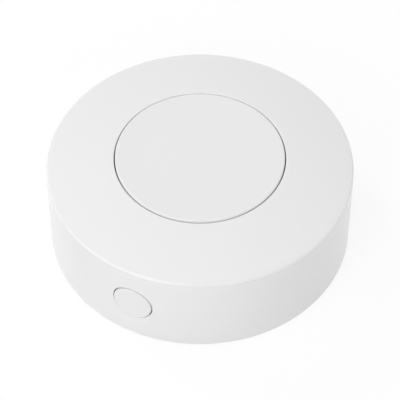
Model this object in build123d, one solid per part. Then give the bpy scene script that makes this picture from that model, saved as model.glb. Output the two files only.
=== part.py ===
from build123d import *
from math import asin, cos, degrees, hypot, radians, sin, sqrt
import os

# A round wireless button that stands free on a table. A large dished button fills the middle of its
# domed top, a small round button sits in its side wall, and two AAA cells lie side by side under the
# circuit board. The origin is the middle of the face it stands on, with +Z up and the front on -Y.
# All lengths are millimetres and all angles are degrees.

# Housing, one moulding: domed roof, side wall, collar round the button, bosses and bayonet tabs
wall = 1.8
roof = 2.0
dome_rise = 2.3
rim_round = 0.5
opening_round = 0.2
foot_round = 0.25
inner_round = 1.0
collar_wall = 1.2
boss_radius = 2.3
boss_end_gap = 0.3

# Main button: a dished cap with a skirt, four hooks and a middle post
cap_diameter = 33.1
cap_gap = 0.2
cap_dish = 0.26
cap_plate = 1.8
cap_proud = 0.2
cap_edge_round = 0.3
cap_skirt_wall = 1.2
cap_skirt = 1.4
cap_travel = 0.3
post_radius = 1.6
post_length = 1.8
post_gap = 0.05
hook_count = 4
hook_angle = 14.0
hook_leg = 1.0
hook_leg_inset = 0.1
hook_reach = 1.05
hook_nose = 0.9
hook_gap = 0.1
spring_ring_wall = 0.6
spring_ring_depth = 0.9

# Side button: a flush round cap with a flange behind the wall and a short stem
side_cap_diameter = 7.9
side_cap_gap = 0.17
side_angle = 25.5
side_proud = 0.2
side_edge_round = 0.3
side_flange_lap = 0.88
side_flange = 0.8
side_flange_gap = 0.15
side_stem_radius = 1.5
side_stem = 0.7

# AAA cells
cell_diameter = 10.5
cell_length = 44.5
cell_nub_diameter = 3.8
cell_nub = 0.8
cell_edge_round = 0.5
cell_foil_gap = 0.3
cell_spacing = 1.2
cell_clearance = 0.2
cell_floor_gap = 0.6

# Battery contacts: stamped plates and cone springs
contact_plate = 0.4
contact_width = 8.4
contact_inset = 0.35
contact_reach = 3.0
contact_tab_width = 2.0
contact_tab_proud = 0.6
contact_slot_gap = 0.1
contact_dimple = 0.5
contact_dimple_radius = 1.6
cone_length = 3.3
cone_foot_radius = 3.1
cone_tip_radius = 2.0
cone_wire = 0.5
cone_turns = 3
cone_seat_gap = 0.05

# Battery chassis
chassis_crown = 0.8
chassis_wall = 1.0
chassis_end_wall = 1.4
chassis_lip = 0.7
chassis_ear = 1.2
chassis_gap = 0.4
chassis_cover_gap = 0.4
pack_margin = 1.625

# Circuit board and what holds it
board = 1.0
board_edge_gap = 1.7
board_notch_gap = 0.4
boss_edge_gap = 0.4
screw_side_gap = 0.9
screw_radius = 1.0
screw_clearance = 0.2
screw_thread_gap = 0.03
screw_length = 5.0
screw_head_radius = 1.9
screw_head = 1.3
screw_cross_width = 0.5
screw_cross_depth = 0.7

# Push switches
switch_width = 6.0
switch_frame = 0.25
switch_proud = 0.7
switch_floor = 0.4
switch_flange = 0.55
switch_flange_gap = 0.35
switch_flange_lap = 0.4
switch_fit = 0.08
switch_dome = 0.3
switch_dome_sheet = 0.1
switch_dome_gap = 0.4
switch_rivet_radius = 0.45
switch_rivet_inset = 1.0
switch_rivet_wall = 0.2
switch_leg = 1.0
switch_leg_width = 0.7
switch_leg_sheet = 0.2
switch_leg_inset = 0.75
side_switch_height = 3.3
side_switch_gap = 1.02

# Small board that carries the side switch, and its pins
side_board = 1.0
side_board_width = 12.0
side_board_drop = 4.5
side_board_gap = 0.4
pin_width = 0.64
pin_pitch = 2.54
pin_count = 4
pin_overlap = 3.0
pin_proud = 0.8
pin_gap = 0.15

# Return spring under the main button
return_wire = 0.5
return_turns = 4
return_gap = 0.4
return_seat_gap = 0.05

# Radio module and the parts on the board
radio_width = 13.0
radio_length = 15.5
radio_board = 0.6
radio_gap = 1.8
can_width = 11.0
can_length = 10.0
can_height = 1.3
can_sheet = 0.2
can_inset = 0.9
can_round = 0.4
can_clearance = 0.5
radio_chip_width = 6.0
radio_chip = 0.8
antenna_runs = 7
antenna_track = 0.5
antenna_sheet = 0.1
antenna_edge = 0.8
part_round = 0.1
near_part_share = 0.45
inductor_share = 0.5
capacitor_share = 0.75
resistor_share = 0.8
crystal_size = (3.2, 2.5, 0.7)
crystal_angle = 20.0
led_size = (1.6, 0.8, 0.6)
led_angle = 270.0
power_chip_size = (3.0, 1.6, 1.1)
power_chip_angle = 335.0
inductor_size = (4.0, 4.0, 1.4)
inductor_angle = 180.0
capacitor_size = (1.6, 0.8, 0.8)
capacitor_angle = 350.0
capacitor_count = 4
resistor_size = (1.0, 0.5, 0.35)
resistor_angle = 175.0
resistor_count = 6

# Rear cover, its feet and the bayonet that holds it
foot_proud = 0.25
cover_plate = 1.25
cover_gap = 0.3
cover_rim_wall = 1.1
cover_rib_radius = 12.5
cover_rib_wall = 1.0
cover_rib_gap = 0.1
cover_edge_round = 0.3
coin_slot_length = 18.0
coin_slot_width = 2.4
coin_slot_depth = 0.6
foot_radius = 3.0
foot_recess = 0.5
foot_circle_radius = 20.5
foot_count = 4
foot_edge_round = 0.15
bayonet_gap = 0.25
bayonet_count = 3
bayonet_tab = 0.8
bayonet_tab_reach = 1.25
bayonet_tab_angle = 12.0
bayonet_lug = 0.8
bayonet_lug_angle = 10.0
bayonet_lug_gap = 0.35
bayonet_stop_angle = 2.5
bayonet_stop_gap_angle = 1.0
bayonet_turn = 24.0

# Raised marks underneath: an arrow on the cover, and a dot and a ring on the wall's foot
mark_proud = 0.12
mark_angle = 270.0
arrow_length = 1.6
arrow_width = 2.0
arrow_inset = 0.5
dot_radius = 0.45
dot_wall = 0.2

# One overrun for every cut that runs out of a face, and how near an edge must be to count as found
overrun = 0.5
edge_match = 0.005

# Push switches, from the width of their base
switch_rivet_place = switch_width / 2 - switch_rivet_inset
switch_well_radius = hypot(switch_rivet_place, switch_rivet_place) - switch_rivet_radius - switch_rivet_wall
switch_flange_radius = switch_well_radius - switch_fit
switch_stem_radius = switch_flange_radius - switch_flange_lap
switch_leg_pitch = switch_width - 2 * switch_leg_inset

# Heights, from the table up
cover_low = foot_proud
cover_top = cover_low + cover_plate
tab_low = cover_top + bayonet_gap
lug_low = tab_low + bayonet_tab + bayonet_gap
lug_top = lug_low + bayonet_lug
chassis_low = lug_top + chassis_cover_gap
cell_radius = cell_diameter / 2
cell_z = cover_top + cell_floor_gap + cell_radius
chassis_top = cell_z + cell_radius + cell_clearance + chassis_crown
board_low = chassis_top
board_top = board_low + board
main_switch_height = switch_floor + switch_dome + switch_dome_gap + switch_flange + switch_flange_gap
plunger_top = board_top + main_switch_height + switch_frame + switch_proud
cap_under = plunger_top + post_gap + post_length
overall_height = cap_under + cap_plate
opening_height = overall_height - cap_proud
rim_height = opening_height - dome_rise
collar_low = board_top + radio_board + can_height + can_clearance
hook_top = collar_low - hook_gap
side_height = board_low - side_switch_gap - switch_width / 2

# Distances from the upright axis
cell_y = (cell_diameter + cell_spacing) / 2
contact_x = (cell_length + cone_length + 2 * cone_seat_gap + contact_dimple) / 2
contact_back = contact_x + contact_plate
inner_radius = hypot(contact_back, cell_y + contact_width / 2) + pack_margin
body_radius = inner_radius + wall
cap_radius = cap_diameter / 2
opening_radius = cap_radius + cap_gap
collar_radius = opening_radius + collar_wall
board_radius = inner_radius - board_edge_gap
screw_circle = board_radius - boss_edge_gap - boss_radius
chassis_half = cell_y + cell_radius + cell_clearance + chassis_wall
screw_y = chassis_half + screw_head_radius + screw_side_gap
screw_x = sqrt(screw_circle**2 - screw_y**2)
tab_radius = inner_radius - bayonet_tab_reach

# Distances along the side button's axis, from the upright axis outwards
side_cap_radius = side_cap_diameter / 2
side_hole_radius = side_cap_radius + side_cap_gap
side_flange_radius = side_hole_radius + side_flange_lap
flange_front = sqrt(inner_radius**2 - side_flange_radius**2) - side_flange_gap
flange_back = flange_front - side_flange
stem_end = flange_back - side_stem
side_board_face = stem_end - post_gap - switch_proud - switch_frame - side_switch_height
side_board_back = side_board_face - side_board

# The dome is part of a ball that passes through the rim and through the edge of the opening
dome_centre = (body_radius**2 + rim_height**2 - opening_radius**2 - opening_height**2) / (-2 * dome_rise)
dome_radius = hypot(body_radius, rim_height - dome_centre)

upright = (Align.CENTER, Align.CENTER, Align.MIN)
from_corner = (Align.MIN, Align.MIN, Align.MIN)


def disc(radius, low, high):
    """Round plate or post on the upright axis."""
    return Pos(0, 0, low) * Cylinder(radius, high - low, align=upright)


def ring(outer, inner, low, high):
    """Upright tube between two heights."""
    return disc(outer, low, high) - disc(inner, low, high)


def block(x, y, z):
    """Box between two values along each axis."""
    return Pos(x[0], y[0], z[0]) * Box(x[1] - x[0], y[1] - y[0], z[1] - z[0], align=from_corner)


def sector(outer, inner, low, high, start, end):
    """Piece of an upright tube between two angles."""
    outline = Polyline((inner, low), (outer, low), (outer, high), (inner, high), close=True)
    return Rot(0, 0, start) * revolve(Plane.XZ * make_face(outline), Axis.Z, end - start)


def turned(*edges):
    """Solid turned about the upright axis from an outline of radius and height."""
    return revolve(Plane.XZ * make_face(Curve() + list(edges)), Axis.Z)


def round_the_axis(piece, angles):
    """Copies of a piece turned about the upright axis."""
    return [Rot(0, 0, angle) * piece for angle in angles]


def at_the_screws(piece):
    """Copies of a piece at the four screws, which stand beside the holder for the cells."""
    return [Pos(x, y, 0) * piece for x in (-screw_x, screw_x) for y in (-screw_y, screw_y)]


def even_angles(count, first=0.0):
    """Angles evenly spaced round a circle."""
    return [first + 360.0 * i / count for i in range(count)]


def ball_height(radius, centre, ball):
    """Height of the upper half of a ball at a distance from the upright axis."""
    return centre + sqrt(ball**2 - radius**2)


def ball_arc(near, far, centre, ball):
    """Arc of a ball's outline between two distances from the upright axis."""
    middle = (near + far) / 2
    points = [(r, ball_height(r, centre, ball)) for r in (near, middle, far)]
    return ThreePointArc(*points)


def side_place():
    """Plane whose Z runs out along the side button's axis, with Y up."""
    angle = radians(side_angle)
    return Plane(
        origin=(0, 0, side_height),
        x_dir=(cos(angle), -sin(angle), 0),
        z_dir=(-sin(angle), -cos(angle), 0),
    )


def circles_at(shape, radius, height):
    """Round edges of a shape with a given radius at a given height."""
    near = [e for e in shape.edges().filter_by(GeomType.CIRCLE) if abs(e.radius - radius) < edge_match]
    return [e for e in near if abs(e.center().Z - height) < edge_match]


def housing_shell():
    """Wall, roof and collar, turned as one outline."""
    inner_ball = dome_radius - roof
    inner_top = ball_height(inner_radius, dome_centre, inner_ball)
    collar_top = ball_height(collar_radius, dome_centre, inner_ball)
    shell = turned(
        Line((inner_radius, foot_proud), (body_radius, foot_proud)),
        Line((body_radius, foot_proud), (body_radius, rim_height)),
        ball_arc(body_radius, opening_radius, dome_centre, dome_radius),
        Line((opening_radius, opening_height), (opening_radius, collar_low)),
        Line((opening_radius, collar_low), (collar_radius, collar_low)),
        Line((collar_radius, collar_low), (collar_radius, collar_top)),
        ball_arc(collar_radius, inner_radius, dome_centre, inner_ball),
        Line((inner_radius, inner_top), (inner_radius, foot_proud)),
    )
    shell = fillet(circles_at(shell, body_radius, rim_height), rim_round)
    shell = fillet(circles_at(shell, opening_radius, opening_height), opening_round)
    shell = fillet(circles_at(shell, inner_radius, inner_top), inner_round)
    return fillet(circles_at(shell, body_radius, foot_proud), foot_round)


def screw_bosses():
    """Four posts from the roof down to the circuit board, each bored for a screw."""
    reach = ball_height(screw_circle + boss_radius, dome_centre, dome_radius - roof)
    post = disc(boss_radius, board_top, reach + roof / 2)
    bore_top = chassis_top - chassis_ear + screw_length + boss_end_gap
    bore = disc(screw_radius + screw_thread_gap, board_top - overrun, bore_top)
    return at_the_screws(post), at_the_screws(bore)


def bayonet_tabs():
    """Three tabs on the wall, each with a stop that ends the cover's turn at locked."""
    stop_start = bayonet_lug_angle + bayonet_stop_gap_angle
    stop_end = stop_start + bayonet_stop_angle
    tab_end = max(stop_end, bayonet_tab_angle)
    root = inner_radius + wall / 2
    tab = sector(root, tab_radius, tab_low, tab_low + bayonet_tab, -bayonet_tab_angle, tab_end)
    stop = sector(root, tab_radius, tab_low, lug_top, stop_start, stop_end)
    return round_the_axis(tab + stop, even_angles(bayonet_count, 90.0))


def foot_marks():
    """Dot where the cover's arrow points when it is locked, and a ring where it points when it is open."""
    place = Pos((inner_radius + body_radius) / 2, 0, 0)
    low, high = foot_proud - mark_proud, foot_proud + mark_proud
    dot = place * disc(dot_radius, low, high)
    open_ring = place * ring(dot_radius, dot_radius - dot_wall, low, high)
    return [Rot(0, 0, mark_angle) * dot, Rot(0, 0, mark_angle - bayonet_turn) * open_ring]


def make_top_housing():
    posts, bores = screw_bosses()
    shell = housing_shell() + posts + bayonet_tabs() + foot_marks()
    side_hole = side_place() * disc(side_hole_radius, inner_radius / 2, body_radius + overrun)
    return shell - bores - side_hole


def make_main_button():
    """Dished cap, skirt, spring ring and post, with hooks that catch under the collar."""
    dish_ball = (cap_radius**2 + cap_dish**2) / (2 * cap_dish)
    middle = cap_radius / 2
    middle_height = overall_height - cap_dish + dish_ball - sqrt(dish_ball**2 - middle**2)
    low_point, high_point = (0, overall_height - cap_dish), (cap_radius, overall_height)
    dish = ThreePointArc(low_point, (middle, middle_height), high_point)
    skirt_low = cap_under - cap_skirt
    skirt_inner = cap_radius - cap_skirt_wall
    cap = turned(
        dish,
        Polyline(
            high_point,
            (cap_radius, skirt_low),
            (skirt_inner, skirt_low),
            (skirt_inner, cap_under),
            (0, cap_under),
            low_point,
        ),
    )
    cap = fillet(circles_at(cap, cap_radius, overall_height), cap_edge_round)
    cap += disc(post_radius, cap_under - post_length, cap_under + overrun)
    ring_outer = return_radius() - return_wire / 2 - post_gap
    ring_inner = ring_outer - spring_ring_wall
    cap += ring(ring_outer, ring_inner, cap_under - spring_ring_depth, cap_under + overrun)
    leg_outer = cap_radius - hook_leg_inset
    leg_inner = leg_outer - hook_leg
    nose_low = hook_top - hook_nose
    half = hook_angle / 2
    leg = sector(leg_outer, leg_inner, nose_low, skirt_low + overrun, -half, half)
    nose = sector(leg_outer + hook_reach, leg_inner, nose_low, hook_top, -half, half)
    return cap + round_the_axis(leg + nose, even_angles(hook_count, 180.0 / hook_count))


def return_radius():
    """Radius of the return spring's wire line, clear of the push switch and its legs."""
    return hypot(switch_width / 2 + switch_leg, switch_leg_pitch / 2) + return_gap + return_wire / 2


def wound_wire(foot_radius, tip_radius, wire, length, turns):
    """Unbroken spring wire standing on the ground plane, wound by quarter turns of two arcs each."""
    steps = 4 * turns
    climb = (length - wire) / steps
    draw_in = (tip_radius - foot_radius) / steps
    quarter = radians(90)

    def point(step):
        radius = foot_radius + draw_in * step
        return Vector(radius * cos(step * quarter), radius * sin(step * quarter), wire / 2 + climb * step)

    def heading(step):
        radius = foot_radius + draw_in * step
        across = Vector(cos(step * quarter), sin(step * quarter), 0)
        along = Vector(-sin(step * quarter), cos(step * quarter), 0)
        return (across * (draw_in / quarter) + along * radius + Vector(0, 0, climb / quarter)).normalized()

    edges = []
    for step in range(steps):
        start, end = point(step), point(step + 1)
        leave, arrive = heading(step), heading(step + 1)
        chord = end - start
        spread = 2 * (1 - leave.dot(arrive))
        pull = chord.dot(leave + arrive)
        arm = (sqrt(pull**2 + spread * chord.dot(chord)) - pull) / spread
        first, second = start + leave * arm, end - arrive * arm
        joint = (first + second) / 2
        edges.append(Edge.make_tangent_arc(start, leave, joint))
        edges.append(Edge.make_tangent_arc(joint, (second - first).normalized(), end))
    path = Wire(edges)
    section = Plane(origin=path.position_at(0), z_dir=path.tangent_at(0)) * Circle(wire / 2)
    return sweep(section, path)


def make_return_spring():
    free = cap_under - board_top - 2 * return_seat_gap
    radius = return_radius()
    spring = wound_wire(radius, radius, return_wire, free, return_turns)
    return Pos(0, 0, board_top + return_seat_gap) * spring


def make_side_button():
    """Cap that follows the wall's curve, with a flange that stops it falling out."""
    face_radius = body_radius + side_proud
    cap = side_place() * disc(side_cap_radius, flange_front - side_flange / 2, face_radius + overrun)
    cap = cap & disc(face_radius, 0, overall_height)
    cap = fillet(cap.edges().sort_by(lambda e: -hypot(e.center().X, e.center().Y))[0], side_edge_round)
    cap += side_place() * disc(side_flange_radius, flange_back, flange_front)
    return cap + side_place() * disc(side_stem_radius, stem_end, flange_back + side_flange / 2)


def switch_rivets(radius, low, high):
    """Four small rivets near the corners of a push switch."""
    places = (-switch_rivet_place, switch_rivet_place)
    return [Pos(x, y, 0) * disc(radius, low, high) for x in places for y in places]


def switch_body(height):
    """Moulded base of a push switch, with a round well and the rivets that hold its frame."""
    half = switch_width / 2
    body = block((-half, half), (-half, half), (0, height))
    body = fillet(body.edges().filter_by(Axis.Z), switch_rivet_radius)
    body -= disc(switch_well_radius, switch_floor, height + overrun)
    return body + switch_rivets(switch_rivet_radius, height, height + switch_frame)


def switch_cover(height):
    """Steel frame over the base, with a hole for the stem and one for each rivet."""
    half = switch_width / 2
    plate = block((-half, half), (-half, half), (height, height + switch_frame))
    plate = fillet(plate.edges().filter_by(Axis.Z), switch_rivet_radius)
    plate -= disc(switch_stem_radius + switch_fit, height - overrun, height + overrun)
    return plate - switch_rivets(switch_rivet_radius, height - overrun, height + overrun)


def switch_plunger(height):
    """Stem that is pressed, with the flange that keeps it under the frame."""
    low = switch_floor + switch_dome + switch_dome_gap
    stem = disc(switch_stem_radius, low, height + switch_frame + switch_proud)
    top = circles_at(stem, switch_stem_radius, height + switch_frame + switch_proud)
    return fillet(top, switch_fit) + disc(switch_flange_radius, low, low + switch_flange)


def switch_snap_dome():
    """Thin domed disc in the well, which clicks and closes the contact."""
    ball = (switch_flange_radius**2 + switch_dome**2) / (2 * switch_dome)
    centre = switch_floor + switch_dome - ball
    inner_ball = ball - switch_dome_sheet
    edge = ball_height(switch_flange_radius, centre, ball)
    inner_edge = sqrt(inner_ball**2 - (edge - centre) ** 2)
    return turned(
        Line((0, centre + inner_ball), (0, centre + ball)),
        ball_arc(0, switch_flange_radius, centre, ball),
        Line((switch_flange_radius, edge), (inner_edge, edge)),
        ball_arc(inner_edge, 0, centre, inner_ball),
    )


def switch_legs():
    """Four flat solder legs."""
    near, far = switch_width / 2, switch_width / 2 + switch_leg
    legs = []
    for side in (-1, 1):
        for place in (-switch_leg_pitch / 2, switch_leg_pitch / 2):
            x = sorted((side * near, side * far))
            y = (place - switch_leg_width / 2, place + switch_leg_width / 2)
            legs.append(block(x, y, (0, switch_leg_sheet)))
    return legs


def on_main_board(piece):
    return Pos(0, 0, board_top) * piece


def on_side_board(piece):
    return side_place() * Pos(0, 0, side_board_face) * piece


def side_block(across, up, out):
    """Box in the side button's own directions: across it, up from its axis, and outwards."""
    return side_place() * block(across, up, out)


def make_side_board():
    half = side_board_width / 2
    top = board_low - side_height
    return side_block((-half, half), (-side_board_drop, top), (side_board_back, side_board_face))


def pin_posts(width, low, high):
    """Square pins side by side along the back of the side board."""
    middle = side_board_back - pin_width / 2
    out = (middle - width / 2, middle + width / 2)
    first = -pin_pitch * (pin_count - 1) / 2
    places = [first + pin_pitch * i for i in range(pin_count)]
    return [side_block((x - width / 2, x + width / 2), (low, high), out) for x in places]


def make_side_board_pins():
    low = board_low - side_height - pin_overlap
    return pin_posts(pin_width, low, board_top - side_height + pin_proud)


def screw_holes(low, high):
    """Clearance holes for the screws through a plate between two heights."""
    hole = disc(screw_radius + screw_clearance, low - overrun, high + overrun)
    return at_the_screws(hole)


def make_main_board():
    """Round board, notched behind the side button, with holes for screws, pins and battery tabs."""
    plate = disc(board_radius, board_low, board_top)
    notch = flange_back - cap_travel - board_notch_gap
    across = (-side_flange_radius, side_flange_radius)
    plate -= side_block(across, (board_low - side_height - overrun, board_top), (notch, body_radius))
    plate -= screw_holes(board_low, board_top)
    low, high = board_low - side_height - overrun, board_top - side_height + overrun
    plate -= pin_posts(pin_width + 2 * pin_gap, low, high)
    for y in (-cell_y, cell_y):
        plate -= tab_room(y, board_low - overrun, board_top + overrun)
    return plate


def tab_room(y, low, high):
    """Slot that a battery tab passes through on the right."""
    half = contact_tab_width / 2 + contact_slot_gap
    return block((contact_x, contact_back + contact_slot_gap), (y - half, y + half), (low, high))


def make_chassis():
    """Holder for two cells, open below, with a flat ear all round that the screws pass through."""
    end = contact_back + contact_slot_gap + chassis_end_wall
    body = block((-end, end), (-chassis_half, chassis_half), (chassis_low, chassis_top))
    body += disc(inner_radius - chassis_gap, chassis_top - chassis_ear, chassis_top)
    body = body & disc(inner_radius - chassis_gap, chassis_low, chassis_top)
    room = side_board_width / 2 + side_board_gap
    back = side_board_back - pin_width - pin_gap
    body -= side_block((-room, room), (-overall_height, overall_height), (back, 2 * body_radius))
    for y in (-cell_y, cell_y):
        body -= cell_pocket(y)
        body -= contact_slots(y)
        body -= tab_room(y, cell_z, chassis_top + overrun)
    return body - screw_holes(chassis_low, chassis_top)


def cell_pocket(y):
    """Trough for one cell, round above and straight below so that the cell drops out."""
    radius = cell_radius + cell_clearance
    end = contact_x - chassis_lip
    trough = Pos(0, y, cell_z) * Rot(0, 90, 0) * Cylinder(radius, 2 * end)
    return trough + block((-end, end), (y - radius, y + radius), (chassis_low - overrun, cell_z))


def contact_slots(y):
    """Slots that hold a contact plate at each end, with a window for the spring and the cell's tip."""
    half = contact_width / 2 + contact_slot_gap
    window = cone_foot_radius + cone_wire / 2 + cell_clearance
    top = cell_z + contact_reach + contact_slot_gap
    floor = chassis_low - overrun
    cuts = []
    for side in (-1, 1):
        slot_x = sorted((side * contact_x, side * (contact_back + contact_slot_gap)))
        window_x = sorted((side * (contact_x - chassis_lip - overrun), side * contact_x))
        cuts.append(block(slot_x, (y - half, y + half), (floor, top)))
        cuts.append(block(window_x, (y - window, y + window), (floor, cell_z + window)))
    join = block((-contact_back - contact_slot_gap, -contact_x), (-cell_y, cell_y), (floor, top))
    return cuts[0] + cuts[1:] + join


def contact_sheet(y, tab):
    """Upright plate behind one cell on the right, with or without a tab to the board."""
    half = contact_width / 2
    sheet = block((contact_x, contact_back), (y - half, y + half), contact_span())
    if tab:
        half_tab = contact_tab_width / 2
        rise = (cell_z, board_top + contact_tab_proud)
        sheet += block((contact_x, contact_back), (y - half_tab, y + half_tab), rise)
    return sheet


def contact_span():
    """Lowest and highest points of the contact plates."""
    return chassis_low + contact_inset, cell_z + contact_reach


def dimple(y):
    """Pressed dimple that meets the tip of a cell on the right."""
    cone = Cone(contact_dimple_radius, contact_dimple_radius / 2, contact_dimple, align=upright)
    return Pos(contact_x, y, cell_z) * Rot(0, -90, 0) * cone


def make_positive_contact():
    return contact_sheet(-cell_y, True) + dimple(-cell_y)


def make_negative_contact():
    return contact_sheet(cell_y, True)


def make_bridge_contact():
    """One plate that joins both cells on the left."""
    reach = cell_y + contact_width / 2
    sheet = block((-contact_back, -contact_x), (-reach, reach), contact_span())
    return sheet + Rot(0, 0, 180) * dimple(-cell_y)


def make_cell_spring():
    """Cone spring on the right, from its plate to the flat end of the rear cell."""
    spring = wound_wire(cone_foot_radius, cone_tip_radius, cone_wire, cone_length, cone_turns)
    return Pos(contact_x - cone_seat_gap, cell_y, cell_z) * Rot(0, -90, 0) * spring


def make_front_cell():
    """Cell with its tip against the dimple on the right."""
    tip = contact_x - contact_dimple
    shoulder = tip - cell_nub
    can = Cylinder(cell_radius, cell_length - cell_nub, align=upright)
    can = fillet(can.edges().filter_by(GeomType.CIRCLE), cell_edge_round)
    nub = Cylinder(cell_nub_diameter / 2, cell_nub + cell_foil_gap, align=upright)
    nub = fillet(nub.faces().sort_by(Axis.Z)[-1].edges(), cell_foil_gap)
    cell = can + Pos(0, 0, cell_length - cell_nub - cell_foil_gap) * nub
    return Pos(shoulder - cell_length + cell_nub, -cell_y, cell_z) * Rot(0, 90, 0) * cell


def make_screws():
    """Pan-head screws that clamp the chassis and the board to the bosses."""
    seat = chassis_top - chassis_ear
    head = disc(screw_head_radius, seat - screw_head, seat)
    head = fillet(head.faces().sort_by(Axis.Z)[0].edges(), screw_head / 2)
    bar = screw_head_radius
    low, high = seat - screw_head - overrun, seat - screw_head + screw_cross_depth
    half = screw_cross_width / 2
    for x, y in ((bar / 2, half), (half, bar / 2)):
        head -= block((-x, x), (-y, y), (low, high))
    screw = head + disc(screw_radius, seat - screw_head / 4, seat + screw_length)
    return at_the_screws(screw)


def radio_front():
    """Front edge of the radio module, clear of the return spring."""
    return return_radius() + return_wire / 2 + radio_gap


def make_radio_board():
    half = radio_width / 2
    front = radio_front()
    return block((-half, half), (front, front + radio_length), (board_top, board_top + radio_board))


def can_box(inset, low, high):
    """Box shape of the shield can, drawn in by an inset."""
    half = can_width / 2 - inset
    front = radio_front() + can_inset + inset
    box = block((-half, half), (front, front + can_length - 2 * inset), (low, high))
    return fillet(box.edges().filter_by(Axis.Z), can_round)


def make_shield_can():
    low = board_top + radio_board
    high = low + can_height
    return can_box(0, low, high) - can_box(can_sheet, low - overrun, high - can_sheet)


def make_radio_chip():
    low = board_top + radio_board
    half = radio_chip_width / 2
    middle = radio_front() + can_inset + can_length / 2
    chip = block((-half, half), (middle - half, middle + half), (low, low + radio_chip))
    return fillet(chip.faces().sort_by(Axis.Z)[-1].edges(), part_round)


def make_antenna():
    """Copper track that folds to and fro beyond the shield can."""
    low = board_top + radio_board
    height = (low, low + antenna_sheet)
    half = radio_width / 2 - antenna_edge
    near = radio_front() + can_inset + can_length + antenna_edge
    far = radio_front() + radio_length - antenna_edge
    step = (2 * half - antenna_track) / antenna_runs
    track = None
    for i in range(antenna_runs + 1):
        x = -half + step * i
        upright_run = block((x, x + antenna_track), (near, far), height)
        track = upright_run if track is None else track + upright_run
        if i < antenna_runs:
            y = (near, near + antenna_track) if i % 2 else (far - antenna_track, far)
            track += block((x, x + step + antenna_track), y, height)
    return track


def chip_at(size, radius_share, angle, shift=0.0):
    """Small moulded part on the board, at a share of the board's radius and an angle."""
    length, width, height = size
    radius = board_radius * radius_share
    x, y = radius * cos(radians(angle)), radius * sin(radians(angle))
    chip = Pos(x, y + shift, board_top) * Box(length, width, height, align=upright)
    return fillet(chip.faces().sort_by(Axis.Z)[-1].edges(), part_round)


def chip_row(size, count, radius_share, angle):
    """Row of equal small parts, each one part's width from the next."""
    pitch = 2 * size[1]
    shifts = [pitch * (i - (count - 1) / 2) for i in range(count)]
    return [chip_at(size, radius_share, angle, shift) for shift in shifts]


def make_rear_cover():
    """Round cover with a coin slot, recesses for its feet, a rib under the cells and three lugs."""
    radius = inner_radius - cover_gap
    plate = disc(radius, cover_low, cover_top)
    plate = fillet(circles_at(plate, radius, cover_low), cover_edge_round)
    rim_radius = tab_radius - bayonet_gap
    plate += ring(rim_radius, rim_radius - cover_rim_wall, cover_top - overrun, lug_top)
    rib_top = cell_z - cell_radius - cover_rib_gap
    plate += ring(cover_rib_radius, cover_rib_radius - cover_rib_wall, cover_top - overrun, rib_top)
    outer, inner = inner_radius - bayonet_lug_gap, rim_radius - cover_rim_wall / 2
    lug = sector(outer, inner, lug_low, lug_top, -bayonet_lug_angle, bayonet_lug_angle)
    plate += round_the_axis(lug, even_angles(bayonet_count, 90.0))
    recess = Pos(foot_circle_radius, 0, 0) * disc(foot_radius, 0, cover_low + foot_recess)
    plate -= round_the_axis(recess, even_angles(foot_count))
    return plate - coin_slot() + cover_arrow()


def coin_slot():
    half, wide = coin_slot_length / 2, coin_slot_width / 2
    slot = block((-half, half), (-wide, wide), (0, cover_low + coin_slot_depth))
    return fillet(slot.edges().filter_by(Axis.Z), wide - part_round)


def cover_arrow():
    """Triangle near the cover's edge, pointing outwards."""
    tip = inner_radius - cover_gap - arrow_inset
    half = arrow_width / 2
    outline = Polyline((tip, 0), (tip - arrow_length, half), (tip - arrow_length, -half), close=True)
    arrow = extrude(make_face(outline), 2 * mark_proud)
    return Rot(0, 0, mark_angle) * Pos(0, 0, cover_low - mark_proud) * arrow


def make_feet():
    foot = disc(foot_radius, 0, cover_low + foot_recess)
    foot = fillet(foot.faces().sort_by(Axis.Z)[0].edges(), foot_edge_round)
    return round_the_axis(Pos(foot_circle_radius, 0, 0) * foot, even_angles(foot_count))


def all_pieces():
    """Every node of the assembly, by its name."""
    half_turn = Rot(0, 0, 180)
    main_height, side_tall = main_switch_height, side_switch_height
    return {
        "top_housing": make_top_housing(),
        "main_button": make_main_button(),
        "return_spring": make_return_spring(),
        "side_button": make_side_button(),
        "main_board": make_main_board(),
        "main_switch_body": on_main_board(switch_body(main_height)),
        "main_switch_frame": on_main_board(switch_cover(main_height)),
        "main_switch_plunger": on_main_board(switch_plunger(main_height)),
        "main_switch_snap_dome": on_main_board(switch_snap_dome()),
        "main_switch_legs": [on_main_board(leg) for leg in switch_legs()],
        "side_board": make_side_board(),
        "side_board_pins": make_side_board_pins(),
        "side_switch_body": on_side_board(switch_body(side_tall)),
        "side_switch_frame": on_side_board(switch_cover(side_tall)),
        "side_switch_plunger": on_side_board(switch_plunger(side_tall)),
        "side_switch_snap_dome": on_side_board(switch_snap_dome()),
        "side_switch_legs": [on_side_board(leg) for leg in switch_legs()],
        "radio_board": make_radio_board(),
        "radio_chip": make_radio_chip(),
        "shield_can": make_shield_can(),
        "antenna": make_antenna(),
        "crystal": chip_at(crystal_size, near_part_share, crystal_angle),
        "status_led": chip_at(led_size, near_part_share, led_angle),
        "power_chip": chip_at(power_chip_size, near_part_share, power_chip_angle),
        "power_inductor": chip_at(inductor_size, inductor_share, inductor_angle),
        "capacitors": chip_row(capacitor_size, capacitor_count, capacitor_share, capacitor_angle),
        "resistors": chip_row(resistor_size, resistor_count, resistor_share, resistor_angle),
        "chassis": make_chassis(),
        "chassis_screws": make_screws(),
        "front_cell": make_front_cell(),
        "rear_cell": half_turn * make_front_cell(),
        "positive_contact": make_positive_contact(),
        "negative_contact": make_negative_contact(),
        "negative_spring": make_cell_spring(),
        "bridge_contact": make_bridge_contact(),
        "bridge_spring": half_turn * make_cell_spring(),
        "rear_cover": make_rear_cover(),
        "rear_cover_feet": make_feet(),
    }


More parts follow.
